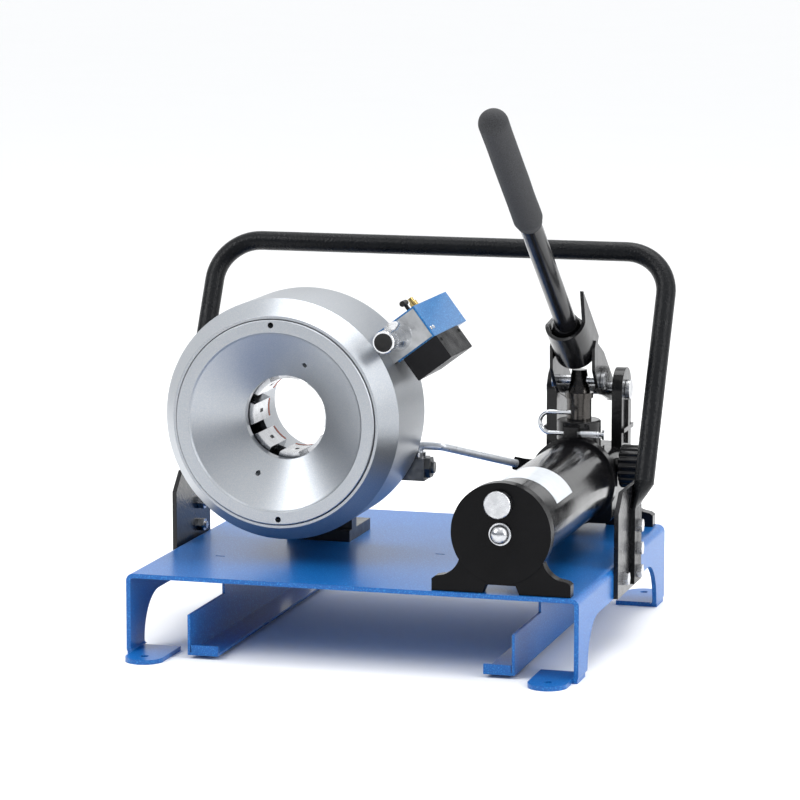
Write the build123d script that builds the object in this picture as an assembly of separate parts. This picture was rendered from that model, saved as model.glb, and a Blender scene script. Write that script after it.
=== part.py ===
"""Hand-pump hose crimping machine: die head, hydraulic pump and carrying handle on a folded sheet base.

Millimetres. Origin on the floor at the centre of the foot bolt pattern, +X right, +Y back, +Z up.
"""
import os
from math import cos, sin, radians, pi
from build123d import *

os.makedirs("parts", exist_ok=True)

# ---- base sheet -------------------------------------------------------------
BASE_W = 500.0            # outside width over the skirts
BASE_D = 436.0            # depth
BASE_H = 90.0             # floor to top face
SHEET = 5.0               # sheet thickness of base and feet
FOLD_R = 8.0              # outside fold radius
SKIRT = 33.0              # skirt depth between the legs
LEG_W = 43.0              # leg width along Y
LEG_ARC = 48.0            # radius between leg and skirt
FOOT_HOLE = (BASE_W / 2 - 28.0, BASE_D / 2 + 20.0)   # foot bolt position from the origin
FOOT_HOLE_R = 4.5
FOOT_R = 21.0             # rounded end of a foot tab
FOOT_IN_Y = BASE_D / 2 - 36.0   # inner end of a foot tab

# ---- die store rails under the plate ------------------------------------------
RAIL_X = BASE_W / 2 - 69.0   # outer web face
RAIL_T = 3.0
RAIL_FLANGE = 34.0
RAIL_Z = 4.0
RAIL_STEP_Z = 48.0
RAIL_STEP_Y = -100.0

# ---- crimping head ------------------------------------------------------------
R_DRUM = 132.5
DRUM_LIFT = 25.9          # air between base and drum
HX, HZ = 144.0 - BASE_W / 2, BASE_H + R_DRUM + DRUM_LIFT    # head axis
HEAD_Y = -75.0            # head's own Y zero in the frame
R_REAR = 121.0
R_BORE = 110.1            # cylinder bore
Y_FRONT = -67.0           # cover face
Y_SEAT = -17.0            # cover back face and housing shoulder
Y_DRUM_END = 69.0
Y_REAR = 100.0
R_COVER = 111.9
R_RECESS = 112.9
R_RIM = 115.9
R_FUNNEL_OUT = 96.3
R_FUNNEL_IN = 46.2
Y_FUNNEL_IN = -27.0
RUN_FIT = 0.05            # running clearance on radius
DIE_Y0, DIE_Y1 = -16.7, 45.0
DIE_R_IN = 41.2           # bore radius of the open dies
DIE_SPLIT = 55.2          # joint between insert and master die
DIE_R_MAX = 97.0
DIE_SIDE = 5.5            # flank offset from the radial plane
CONE_K = 0.5              # radial travel per axial travel
CONE_A0 = 98.0            # octagon apothem at the piston's front edge
PISTON_Y0, PISTON_Y1 = 10.0, 84.0
POCKET_Y1 = 70.0
SLEEVE_R = 58.3
DIE_GAP = 0.3             # clearance between master die and piston cone

# ---- control unit (u = outwards from the head axis, t = across) ------------------
CTRL_ANGLE = 37.0
CTRL_Y = -8.0             # front face of the control block
KNOB_U = 151.5
KNOB_R = 12.2

# ---- carrying handle -------------------------------------------------------------
BRACKET_T = 5.0
STRIP_T = 5.0
STRIP_W = 34.0
STRIP_Y = 25.0
STRIP_LOW, STRIP_TOP = BASE_H - 28.0, BASE_H + 56.0
HANDLE_R = 11.0
HANDLE_X = BASE_W / 2 + BRACKET_T + HANDLE_R      # centre line of a leg
HANDLE_LOW = (STRIP_Y, BASE_H + 82.0)     # Y, Z of the lower end of the round tube
HANDLE_TOP = (STRIP_Y + 130.0, BASE_H + 322.0)    # Y, Z of the top bar
HANDLE_BEND = 50.0
BOLT_R = 4.0
BOLT_CLEAR = 0.3
BOLT_LOW = BASE_H - 16.0  # lower bolts, through the skirt
HANDLE_BOLTS = [(STRIP_Y, BASE_H + 35.0, False), (STRIP_Y, BASE_H + 9.5, False), (STRIP_Y, BOLT_LOW, True),
                (STRIP_Y - 47.0, BOLT_LOW, True)]

# ---- hand pump ---------------------------------------------------------------------
PX, PZ = BASE_W / 2 - 85.0, BASE_H + 64.5     # tank axis
TANK_R = 46.0
CAP_R = 54.0
FLANGE_R = 50.0
CAP_T = 15.0
CAP_Y0 = 3.0 - BASE_D / 2
CAP_Y1 = CAP_Y0 + CAP_T
PLUNGER_Y = BASE_D / 2 - 75.0
TANK_Y1 = PLUNGER_Y - 35.0
FOOT_HALF = 75.0          # half width over the pump feet
VENT_X, VENT_Z = PX - 2.0, PZ + 31.5
PLUNGER_R = 14.0
PIVOT = (PLUNGER_Y + 50.0, PZ + 95.5)    # Y, Z of the lever pivot
PIN_Z = PIVOT[1] + 16.0   # plunger pin height at rest
PIVOT_R = 8.0
PIN_R = 5.0
PIN_PLAY = 2.0            # slot clearance round the plunger pin
CHEEK_X = 44.0            # outer face of a cheek from the pump axis
CHEEK_T = 12.0
CHEEK_R = 25.0
RIB = 3.0                 # height of the ribs on a cheek
YOKE_IN = 22.0            # inner face of a yoke plate from the pump axis
YOKE_T = 4.0
LEVER_ANGLE = 37.0        # lever above the horizontal, leaning to the front
LEVER_R = 12.0
LEVER_END = 560.0
GRIP_R = 16.0
GRIP_START = 362.0
COLLAR_R = 25.0
SEAT_Z = PZ + 37.5        # collar seat on the casting
COLLAR_TOP = SEAT_Z + 29.0
LATCH_Y, LATCH_Z = PLUNGER_Y - 31.0, SEAT_Z + 17.0
LATCH_H = 24.0
DIAL_R = 18.0             # release knob
DIAL_Y, DIAL_Z = PLUNGER_Y - 3.0, PZ + 15.5
PORT_Y, PORT_Z = PLUNGER_Y + 42.0, PZ + 5.5


def box(x0, x1, y0, y1, z0, z1):
    return Pos((x0 + x1) / 2, (y0 + y1) / 2, (z0 + z1) / 2) * Box(x1 - x0, y1 - y0, z1 - z0)


def cyl_x(r, x0, x1, y, z):
    return Pos((x0 + x1) / 2, y, z) * Rot(0, 90, 0) * Cylinder(r, x1 - x0)


def cyl_y(r, y0, y1, x, z):
    return Pos(x, (y0 + y1) / 2, z) * Rot(90, 0, 0) * Cylinder(r, y1 - y0)


def cyl_z(r, z0, z1, x, y):
    return Pos(x, y, (z0 + z1) / 2) * Cylinder(r, z1 - z0)


def hex_x(across, x0, x1, y, z):
    """Hexagonal prism along X."""
    face = Plane.YZ.offset(x0) * RegularPolygon(across / 2, 6, major_radius=False)
    return Pos(0, y, z) * extrude(face, x1 - x0)


def turned(points, x, z):
    """Solid of revolution about a Y-parallel axis at x, z from (radius, y) points."""
    face = make_face(Polyline(*[(r, y) for r, y in points], close=True))
    return Pos(x, 0, z) * revolve(face, Axis.Y, 360)


def plate_yz(points, x0, x1):
    """Flat plate in the YZ plane between two X values."""
    face = make_face(Polyline(*[(x0, y, z) for y, z in points], close=True))
    return extrude(face, x1 - x0, dir=(1, 0, 0))


def plate_xz(points, y0, y1):
    """Flat plate in the XZ plane between two Y values."""
    face = make_face(Polyline(*[(x, y0, z) for x, z in points], close=True))
    return extrude(face, y1 - y0, dir=(0, 1, 0))


# ---- base --------------------------------------------------------------------------
def foot_tab(sx, sy):
    hx, hy = FOOT_HOLE
    tab = box(hx - FOOT_R, BASE_W / 2 - 1.0, FOOT_IN_Y, BASE_D / 2, 0, SHEET)
    tab += box(hx - FOOT_R, hx + FOOT_R, BASE_D / 2 - 1.0, hy, 0, SHEET)
    tab += cyl_z(FOOT_R, 0, SHEET, hx, hy)
    tab -= cyl_z(FOOT_HOLE_R, -1, SHEET + 1, hx, hy)
    if sx < 0:
        tab = mirror(tab, Plane.YZ)
    if sy < 0:
        tab = mirror(tab, Plane.XZ)
    return tab


def base_plate():
    w, d = BASE_W / 2, BASE_D / 2
    outer = box(-w, w, -d, d, 0, BASE_H)
    outer = fillet(outer.edges().filter_by(Axis.Y), FOLD_R)
    inner = box(-w + SHEET, w - SHEET, -d - 1, d + 1, SHEET, BASE_H - SHEET)
    inner = fillet(inner.edges().filter_by(Axis.Y), FOLD_R - SHEET)
    shell = outer - inner
    shell -= box(-w + FOLD_R, w - FOLD_R, -d - 1, d + 1, -1, SHEET + 0.01)
    shell -= box(-w - 1, w + 1, -FOOT_IN_Y, FOOT_IN_Y, -1, SHEET + 0.01)
    arch = box(-w - 1, w + 1, -d + LEG_W, d - LEG_W, -40, BASE_H - SKIRT)
    top = arch.edges().filter_by(Axis.X).group_by(Axis.Z)[-1]
    arch = fillet(top, LEG_ARC)
    cut = box(-w - 1, w + 1, -d, d, -1, BASE_H - SKIRT + 0.5) & arch
    shell -= cut
    for sx in (-1, 1):
        for sy in (-1, 1):
            shell += foot_tab(sx, sy)
    for x, y in ((HX - 77.0, -100.0), (HX + 153.0, -23.0)):
        shell -= box(x - 5.5, x + 5.5, y - 1.5, y + 1.5, BASE_H - SHEET - 1, BASE_H + 1)
    for y, z, through in HANDLE_BOLTS:
        if through:
            shell -= cyl_x(BOLT_R + BOLT_CLEAR, -w - 1, w + 1, y, z)
    for x in PED_SCREWS:
        shell -= cyl_z(BOLT_R + BOLT_CLEAR, BASE_H - SHEET - 1, BASE_H + 1, x, PED_SCREW_Y)
    return shell


def rail(side):
    """Z-section slide: low web reaching the front edge, high web and top flange further back."""
    d = BASE_D / 2 - 2.0
    top = BASE_H - SHEET
    web = box(RAIL_X - RAIL_T, RAIL_X, -d, d, RAIL_Z, RAIL_STEP_Z)
    web += box(RAIL_X - RAIL_T, RAIL_X, RAIL_STEP_Y, d, RAIL_STEP_Z - 1, top)
    web += box(RAIL_X - RAIL_FLANGE, RAIL_X, -d, d, RAIL_Z, RAIL_Z + RAIL_T)
    web += box(RAIL_X - RAIL_FLANGE, RAIL_X - 4.0, -d, -d + RAIL_T, RAIL_Z, RAIL_Z + RAIL_T + 8.0)
    web += box(RAIL_X - 22.0, RAIL_X, RAIL_STEP_Y, d, top - RAIL_T, top)
    web -= box(RAIL_X - 5, RAIL_X + 1, 100.0, 150.0, 22.0, 38.0)
    return web if side > 0 else mirror(web, Plane.YZ)


# ---- carrying handle -----------------------------------------------------------------
def handle_tube():
    y0, z0 = HANDLE_LOW
    y1, z1 = HANDLE_TOP
    pts = [(-HANDLE_X, y0, z0), (-HANDLE_X, y1, z1), (HANDLE_X, y1, z1), (HANDLE_X, y0, z0)]
    path = FilletPolyline(*pts, radius=HANDLE_BEND)
    tube = sweep(Plane(path @ 0, z_dir=path % 0) * Circle(HANDLE_R), path)
    up = Vector(0, y1 - y0, z1 - z0).normalized()
    for side in (-1, 1):
        x_strip = side * (BASE_W / 2 + BRACKET_T + STRIP_T / 2)
        ring = Plane((side * HANDLE_X, y0, z0), x_dir=(1, 0, 0), z_dir=up) * Circle(HANDLE_R)
        flat = Plane((x_strip, STRIP_Y, STRIP_TOP), x_dir=(1, 0, 0), z_dir=(0, 0, 1)) * RectangleRounded(
            STRIP_T, STRIP_W, 2.0)
        tube += loft([flat, ring])
        strip = box(x_strip - STRIP_T / 2, x_strip + STRIP_T / 2, STRIP_Y - STRIP_W / 2,
                    STRIP_Y + STRIP_W / 2, STRIP_LOW, STRIP_TOP)
        tube += strip
    for y, z, through in HANDLE_BOLTS[:3]:
        tube -= cyl_x(BOLT_R + BOLT_CLEAR, -HANDLE_X, HANDLE_X, y, z)
    return tube


def bracket(side):
    x0 = BASE_W / 2
    y0, y1, z0, z1 = STRIP_Y - 78.0, STRIP_Y + 37.0, BASE_H - SKIRT, BASE_H + 81.0
    pts = [(y0, z0), (y1, z0), (y1, z1), (y0 + 21.0, z1), (y0, z1 - 21.0)]
    plate = plate_yz(pts, x0, x0 + BRACKET_T)
    for y, z, through in HANDLE_BOLTS:
        plate -= cyl_x(BOLT_R + BOLT_CLEAR, x0 - 1, x0 + BRACKET_T + 1, y, z)
    return plate if side > 0 else mirror(plate, Plane.YZ)


def handle_bolts(side):
    """Hexagon bolts with nuts; the bolt that misses the strip has its head on the bracket."""
    parts = []
    for i, (y, z, through) in enumerate(HANDLE_BOLTS):
        out = BASE_W / 2 + BRACKET_T + (STRIP_T if i < 3 else 0.0)
        inn = BASE_W / 2 - (SHEET if through else 0.0)
        a, b = sorted((side * (inn - 9.0), side * (out + 1.0)))
        bolt = cyl_x(BOLT_R, a, b, y, z)
        for lo, hi in ((out, out + 5.5), (inn - 6.5, inn)):
            a, b = sorted((side * lo, side * hi))
            bolt += hex_x(13.0, a, b, y, z)
        parts.append(bolt)
    return Compound(children=parts)


# ---- crimping head ----------------------------------------------------------------------
def on_head(shape):
    """From the head's own Y zero to the frame."""
    return Pos(0, HEAD_Y, 0) * shape


def head_housing():
    pts = [(R_RECESS, -64.5), (R_RIM, -64.5), (R_DRUM, -40.0), (R_DRUM, 62.0), (128.0, Y_DRUM_END),
           (R_REAR, Y_DRUM_END), (R_REAR, Y_REAR), (R_BORE, Y_REAR), (R_BORE, Y_SEAT), (R_RECESS, Y_SEAT)]
    return on_head(turned(pts, HX, HZ))


def front_cover():
    pts = [(R_FUNNEL_IN, Y_SEAT), (R_FUNNEL_IN, Y_FUNNEL_IN), (R_FUNNEL_OUT, Y_FRONT + 2.0),
           (R_FUNNEL_OUT + 2.0, Y_FRONT), (R_COVER - 1.0, Y_FRONT), (R_COVER, Y_FRONT + 1.0), (R_COVER, Y_SEAT)]
    cover = turned(pts, HX, HZ)
    for r, ang, rad in ((106.0, 92.0, 3.2), (106.0, 272.0, 3.2), (66.0, 66.0, 2.7), (66.0, 246.0, 2.7)):
        x, z = HX + r * cos(radians(ang)), HZ + r * sin(radians(ang))
        cover -= cyl_y(rad, Y_FRONT - 1, -30.0, x, z)
    return on_head(cover)


def rear_cover():
    """Cylinder end plate with the inner sleeve the piston runs on."""
    pts = [(52.0, 47.5), (SLEEVE_R, 47.5), (SLEEVE_R, 90.0), (R_BORE, 90.0), (R_BORE, Y_REAR), (56.0, Y_REAR),
           (52.0, 96.0)]
    cover = turned(pts, HX, HZ)
    for k in range(8):
        a = radians(22.5 + 45 * k)
        cover -= cyl_y(BOLT_R, Y_REAR - 6, Y_REAR + 1, HX + 84 * cos(a), HZ + 84 * sin(a))
    return on_head(cover)


def octagon(apothem, y):
    """Octagon across the head axis with flats facing the eight dies."""
    r = apothem / cos(radians(22.5))
    pts = [(HX + r * cos(radians(22.5 + 45 * k)), y, HZ + r * sin(radians(22.5 + 45 * k))) for k in range(8)]
    return make_face(Polyline(*pts, close=True))


def pressure_piston():
    r = R_BORE - RUN_FIT
    body = cyl_y(r, PISTON_Y0, PISTON_Y1, HX, HZ)
    body -= cyl_y(SLEEVE_R + RUN_FIT, PISTON_Y0 - 1, PISTON_Y1 + 1, HX, HZ)
    a1 = CONE_A0 - CONE_K * (POCKET_Y1 - PISTON_Y0)
    pocket = loft([octagon(CONE_A0, PISTON_Y0), octagon(a1, POCKET_Y1)], ruled=True)
    body -= pocket
    for y in (73.5, 78.5):
        body -= turned([(r - 2.2, y - 1.2), (r + 1, y - 1.2), (r + 1, y + 1.2), (r - 2.2, y + 1.2)], HX, HZ)
    return on_head(body)


def piston_seals():
    r = R_BORE - RUN_FIT
    rings = [turned([(r - 2.2, y - 1.2), (r, y - 1.2), (r, y + 1.2), (r - 2.2, y + 1.2)], HX, HZ)
             for y in (73.5, 78.5)]
    return Compound(children=[on_head(ring) for ring in rings])


def die_sector(k, r0, r1, y0, y1):
    """Sector between two flanks, each DIE_SIDE off its radial plane; built at +X, turned to die k."""
    t = radians(22.5)
    reach = 2 * R_DRUM
    apex = DIE_SIDE / sin(t)
    wedge = plate_xz([(apex, 0), (apex + reach, reach * sin(t) / cos(t)), (apex + reach, -reach * sin(t) / cos(t))],
                     y0, y1)
    ring = cyl_y(r1, y0, y1, 0, 0) - cyl_y(r0, y0 - 1, y1 + 1, 0, 0)
    return (wedge & ring, Pos(HX, HEAD_Y, HZ) * Rot(0, -45.0 * k, 0))


def master_die(k):
    sector, place = die_sector(k, 40.0, DIE_R_MAX, DIE_Y0, DIE_Y1)
    sector -= box(0, DIE_SPLIT, -40, 60, -40, 40)
    a = CONE_A0 - DIE_GAP - CONE_K * (DIE_Y1 - PISTON_Y0)
    y_top = PISTON_Y0 - (DIE_R_MAX - CONE_A0 + DIE_GAP) / CONE_K
    wedge_pts = [(a, DIE_Y1 + 1 * 0), (DIE_R_MAX + 0.0, y_top), (DIE_R_MAX + 60, y_top), (DIE_R_MAX + 60, DIE_Y1 + 1),
                 (a - 0.5, DIE_Y1 + 1)]
    face = make_face(Polyline(*[(x, y, -60) for x, y in wedge_pts], close=True))
    sector -= extrude(face, 120, dir=(0, 0, 1))
    return place * sector


def die_insert(k):
    """Crimping die with a curved face, held on the flat of its master die by a centre pin."""
    sector, place = die_sector(k, DIE_R_IN, 90.0, -14.0, 43.0)
    sector -= box(DIE_SPLIT, 200, -40, 60, -60, 60)
    sector -= box(DIE_R_IN - 3, DIE_R_IN + 2.5, 10.0, 20.0, -2.0, 2.0)
    return place * sector


# ---- pedestal behind the head ------------------------------------------------------------
PED_X0, PED_X1 = HX - 37.0, HX + 37.0
PED_Y0 = Y_REAR + HEAD_Y - 9.0
PED_Y1 = PED_Y0 + 82.0
PED_T = 13.0
PED_TOP = HZ - 58.4
PED_UP = 18.0             # thickness of the upright
PED_SCREWS = (HX + 18.0, HX - 18.0)
PED_SCREW_Y = PED_Y1 - 23.0


def pedestal():
    """Welded bracket: foot plate on the base, upright against the head's rear face, middle gusset."""
    y0 = Y_REAR + HEAD_Y
    bracket_part = box(PED_X0, PED_X1, PED_Y0, PED_Y1, BASE_H, BASE_H + PED_T)
    z0 = BASE_H + PED_T
    bracket_part += box(PED_X0, PED_X1, y0, y0 + PED_UP, z0 - 1, PED_TOP)
    bracket_part += plate_yz([(y0 + PED_UP - 1, z0 - 1), (PED_Y1 - 8, z0 - 1), (PED_Y1 - 8, z0 + 5),
                              (y0 + PED_UP - 1, PED_TOP - 8)], HX - 5.0, HX + 5.0)
    for x in PED_SCREWS:
        bracket_part -= cyl_z(BOLT_R + BOLT_CLEAR, BASE_H - 1, z0 + 7, x, PED_SCREW_Y)
    for k in (5, 6):
        a = radians(22.5 + 45 * k)
        bracket_part -= cyl_y(4.3, y0 - 1, y0 + 30, HX + 84 * cos(a), HZ + 84 * sin(a))
    return bracket_part


def pedestal_screws():
    """Two screws down through the base, two into the head's rear cover."""
    top = BASE_H + PED_T
    low = BASE_H - SHEET
    screws = [cyl_z(6.5, top, top + 5.0, x, PED_SCREW_Y) + cyl_z(BOLT_R, low - 7, top + 1.0, x, PED_SCREW_Y)
              + cyl_z(6.5, low - 6.0, low, x, PED_SCREW_Y) for x in PED_SCREWS]
    y0 = Y_REAR + HEAD_Y
    for k in (5, 6):
        a = radians(22.5 + 45 * k)
        x, z = HX + 84 * cos(a), HZ + 84 * sin(a)
        screws.append(cyl_y(BOLT_R, y0 - 6.0, y0 + PED_UP + 1, x, z)
                      + cyl_y(6.5, y0 + PED_UP, y0 + PED_UP + 6, x, z))
    return Compound(children=screws)


# ---- control unit -----------------------------------------------------------------------
def ctrl(shape):
    """From (u, y, t) coordinates to the frame."""
    return Pos(HX, HEAD_Y, HZ) * Rot(0, -CTRL_ANGLE, 0) * shape


def control_block():
    block = box(126.0, 184.0, CTRL_Y, 60.0, -22.0, 14.0)
    block -= cyl_y(R_DRUM, -80, 80, 0, 0)
    block -= cyl_y(6.0 + RUN_FIT, CTRL_Y - 1, CTRL_Y + 26.0, KNOB_U, 0)
    return ctrl(block)


def control_cover():
    """Folded sheet round the top, outer end and underside of the block, open at the head."""
    y0, y1 = CTRL_Y + 1.0, 125.0
    cover = box(134.0, 186.0, y0, y1, 14.0, 16.0)
    cover += box(184.0, 186.0, y0, y1, -24.0, 16.0)
    cover += box(135.5, 186.0, y0, y1, -24.0, -22.0)
    cover += box(138.0, 186.0, y1 - 2.0, y1, -24.0, 16.0)
    return ctrl(cover)


def switch_box():
    body = box(142.0, 188.0, CTRL_Y, 80.0, -53.0, -24.0)
    body = fillet(body.edges().filter_by(Axis.Y), 1.5)
    return ctrl(body)


def knob_sleeve():
    sleeve = cyl_y(13.5, -38.0, CTRL_Y, KNOB_U, 0) - cyl_y(6.0 + RUN_FIT, -39.0, CTRL_Y + 1, KNOB_U, 0)
    return ctrl(sleeve)


def micrometer_knob():
    knob = cyl_y(KNOB_R, -62.0, -38.5, KNOB_U, 0)
    knob = chamfer(knob.edges().filter_by(GeomType.CIRCLE), 0.8)
    for k in range(24):
        a = radians(15 * k)
        knob -= cyl_y(0.8, -58.0, -44.0, KNOB_U + (KNOB_R + 0.2) * cos(a), (KNOB_R + 0.2) * sin(a))
    knob += cyl_y(6.0, -40.0, CTRL_Y + 24.0, KNOB_U, 0)
    return ctrl(knob)


def brass_elbow():
    part = cyl_z(4.5, 16.0, 22.0, 179.0, 22.0) + cyl_z(3.0, 22.0, 27.0, 179.0, 22.0)
    return ctrl(part)


def bleed_nipple():
    part = cyl_z(2.2, 16.0, 26.0, 176.0, 4.0) + cyl_y(3.2, -4.0, 10.0, 176.0, 25.0)
    return ctrl(part)


# ---- hydraulic line ------------------------------------------------------------------------
LINE_X, LINE_Y, LINE_Z, LINE_R = HX + 120.0, 10.0, HZ - 67.4, 4.5
BLOCK_TOP = LINE_Z + 11.0
LINE_TOP = BLOCK_TOP + 13.0
LINE_END = (PX - 55.0, TANK_Y1 + 4.0, PZ + 15.5)
LINE_BEND = (LINE_X + 26.0, LINE_Y, LINE_TOP)
NUT_H = 6.0


def line_block():
    block = box(LINE_X - 34.0, LINE_X + 9.0, LINE_Y - 12.5, LINE_Y + 12.5, BLOCK_TOP - 25.0, BLOCK_TOP)
    block -= cyl_y(R_REAR, -20, 40, HX, HZ)
    block -= cyl_z(LINE_R, BLOCK_TOP - 2.5, BLOCK_TOP + 1, LINE_X, LINE_Y)
    block -= cyl_x(7.0, LINE_X - 2, LINE_X + 10, LINE_Y, LINE_Z)
    return block


def line_plug():
    x = LINE_X + 9.0
    plug = cyl_x(7.0, LINE_X - 2, x + 1, LINE_Y, LINE_Z) + hex_x(22.0, x, x + 5.5, LINE_Y, LINE_Z)
    return plug + cyl_x(6.5, x + 5.5, x + 9.0, LINE_Y, LINE_Z)


def hydraulic_tube():
    pts = [(LINE_X, LINE_Y, BLOCK_TOP - 2.5), (LINE_X, LINE_Y, LINE_TOP), LINE_BEND, LINE_END]
    path = FilletPolyline(*pts, radius=6.0)
    return sweep(Plane(path @ 0, z_dir=path % 0) * Circle(LINE_R), path)


def tube_nut():
    nut = cyl_z(7.5, BLOCK_TOP, BLOCK_TOP + NUT_H, LINE_X, LINE_Y)
    return nut - cyl_z(LINE_R, BLOCK_TOP - 1, BLOCK_TOP + NUT_H + 1, LINE_X, LINE_Y)


def pump_port():
    end = Vector(*LINE_END)
    d = (end - Vector(*LINE_BEND)).normalized()
    hole = extrude(Plane(origin=end - d * 30, z_dir=d) * Circle(LINE_R), 30)
    port = extrude(Plane(origin=end - d * 14, z_dir=d) * RegularPolygon(7.5, 6, major_radius=False), 16)
    port += box(end.X - 4, end.X + 12, end.Y - 3, end.Y + 9.5, end.Z - 6.5, end.Z + 6.5)
    port -= hole
    return port - cyl_y(FLANGE_R, TANK_Y1 - 1, TANK_Y1 + 22, PX, PZ) - cyl_y(TANK_R, CAP_Y1, TANK_Y1, PX, PZ)


# ---- hand pump --------------------------------------------------------------------------------
def feet(y0, y1):
    """Flared foot plate with a relief arch under the middle."""
    w = FOOT_HALF
    with BuildSketch(Plane.XZ) as s:
        with BuildLine():
            a = Polyline((PX - 16, BASE_H + 9.5), (PX - 20, BASE_H), (PX - w, BASE_H), (PX - w, BASE_H + 13),
                         (PX - w + 4, BASE_H + 16), (PX - w + 12, BASE_H + 17.5))
            b = ThreePointArc(a @ 1, (PX - 53, BASE_H + 23), (PX - 45, BASE_H + 36))
            c = Line(b @ 1, (PX + 45, BASE_H + 36))
            e = ThreePointArc(c @ 1, (PX + 53, BASE_H + 23), (PX + w - 12, BASE_H + 17.5))
            f = Polyline(e @ 1, (PX + w - 4, BASE_H + 16), (PX + w, BASE_H + 13), (PX + w, BASE_H),
                         (PX + 20, BASE_H), (PX + 16, BASE_H + 9.5), (PX - 16, BASE_H + 9.5))
        make_face()
    return Pos(0, y1, 0) * extrude(s.sketch, y1 - y0)


def front_cap():
    cap = cyl_y(CAP_R, CAP_Y0, CAP_Y1, PX, PZ)
    cap += feet(CAP_Y0 + 1.0, CAP_Y1)
    cap -= cyl_y(8.0 + RUN_FIT, CAP_Y0 - 1, CAP_Y0 + 10, VENT_X, VENT_Z)
    cap -= cyl_y(5.0, CAP_Y0 - 1, CAP_Y1 + 1, PX, PZ)
    return cap


def pump_tank():
    return turned([(5.0, CAP_Y1), (TANK_R, CAP_Y1), (TANK_R, TANK_Y1), (5.0, TANK_Y1)], PX, PZ) - cyl_y(
        TANK_R - 4, CAP_Y1 + 6, TANK_Y1 - 6, PX, PZ)


def vent_cap():
    cap = cyl_y(14.5, CAP_Y0 - 9, CAP_Y0 - 0.5, VENT_X, VENT_Z)
    cap = chamfer(cap.edges().filter_by(GeomType.CIRCLE).group_by(Axis.Y)[0], 1.0)
    return cap + cyl_y(8.0, CAP_Y0 - 2, CAP_Y0 + 8, VENT_X, VENT_Z)


def tie_rod():
    rod = cyl_y(5.0, CAP_Y0 - 2, CAP_Y1 + 1, PX, PZ)
    rod += cyl_y(12.0, CAP_Y0 - 3.5, CAP_Y0, PX, PZ)
    ball = Pos(PX, CAP_Y0 - 3.5, PZ) * Sphere(10.5)
    return rod + (ball & box(PX - 20, PX + 20, CAP_Y0 - 30, CAP_Y0 - 2, PZ - 20, PZ + 20))


def pump_head():
    """Rear casting: flange on the tank, valve block, feet, cylinder seat and two pivot cheeks."""
    head = cyl_y(FLANGE_R, TANK_Y1, TANK_Y1 + 14, PX, PZ)
    block = box(PX - CHEEK_X, PX + CHEEK_X, TANK_Y1 + 13, PLUNGER_Y + 71, BASE_H + 16, SEAT_Z - 6)
    head += fillet(block.edges().filter_by(Axis.Y), 10)
    head += feet(PLUNGER_Y + 55, PLUNGER_Y + 70)
    head += cyl_z(29.0, SEAT_Z - 22, SEAT_Z, PX, PLUNGER_Y)
    y, z = PIVOT
    y0, y1 = y - CHEEK_R, y + CHEEK_R - 0.01
    for s in (-1, 1):
        x0, x1 = sorted((PX + s * CHEEK_X, PX + s * (CHEEK_X - CHEEK_T)))
        head += box(x0, x1, y0, y1, SEAT_Z - 27, z)
        head += cyl_x(CHEEK_R, x0, x1, y, z)
        x0, x1 = sorted((PX + s * CHEEK_X, PX + s * (CHEEK_X + RIB)))
        head += box(x0, x1, y - 4, y + 4, z - 62, z - 12)
        head += box(x0, x1, y0, y1, z - 47, z - 42)
    head -= cyl_z(COLLAR_R + 0.01, SEAT_Z, SEAT_Z + 38, PX, PLUNGER_Y)
    head -= cyl_x(PIVOT_R + RUN_FIT, PX - 60, PX + 60, y, z)
    head -= cyl_z(PLUNGER_R + RUN_FIT, PZ - 14.5, SEAT_Z + 8, PX, PLUNGER_Y)
    head -= cyl_x(6.0 + RUN_FIT, PX + CHEEK_X - 14, PX + CHEEK_X + 6, DIAL_Y, DIAL_Z)
    return head


def pump_collar():
    collar = cyl_z(COLLAR_R, SEAT_Z, COLLAR_TOP, PX, PLUNGER_Y)
    collar += box(PX - 9, PX + 7, LATCH_Y - 7.5, LATCH_Y + 12, LATCH_Z - 4, LATCH_Z + 8)
    collar -= cyl_z(PLUNGER_R + RUN_FIT, SEAT_Z - 2, COLLAR_TOP + 9, PX, PLUNGER_Y)
    collar -= cyl_x(2.5 + RUN_FIT, PX - 12, PX + 12, LATCH_Y, LATCH_Z)
    collar = chamfer(collar.edges().filter_by(GeomType.CIRCLE).group_by(Axis.Z)[-1].sort_by(SortBy.RADIUS)[-1:], 1.5)
    return collar


def plunger():
    rod = cyl_z(PLUNGER_R, PZ + 17.5, PIN_Z - 18, PX, PLUNGER_Y)
    rod += cyl_z(16.0, PIN_Z - 20, PIN_Z - 14, PX, PLUNGER_Y)
    rod += Pos(PX, PLUNGER_Y, PIN_Z - 1) * Cone(12.5, 8.5, 26.0)
    rod -= cyl_x(PIN_R, PX - 30, PX + 30, PLUNGER_Y, PIN_Z)
    return rod


def plunger_pin():
    x1 = YOKE_IN + YOKE_T
    pin = cyl_x(PIN_R, PX - x1 - 3, PX + x1 + 3, PLUNGER_Y, PIN_Z)
    for s in (-1, 1):
        a, b = sorted((PX + s * (x1 + 0.4), PX + s * (x1 + 4.4)))
        pin += cyl_x(9.5, a, b, PLUNGER_Y, PIN_Z)
    return pin


def pivot_pin():
    pin = cyl_x(PIVOT_R, PX - CHEEK_X - 4, PX + CHEEK_X + 5, *PIVOT)
    pin += cyl_x(PIVOT_R + 3, PX + CHEEK_X + 0.5, PX + CHEEK_X + 5, *PIVOT)
    pin += cyl_x(PIVOT_R + 2, PX - CHEEK_X - 4, PX - CHEEK_X - 0.5, *PIVOT)
    return pin


def along(s, n):
    """Point of the lever's side view: s along the lever from the pivot, n towards its front side."""
    a = radians(LEVER_ANGLE)
    return (PIVOT[0] - s * cos(a) - n * sin(a), PIVOT[1] + s * sin(a) - n * cos(a))


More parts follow.
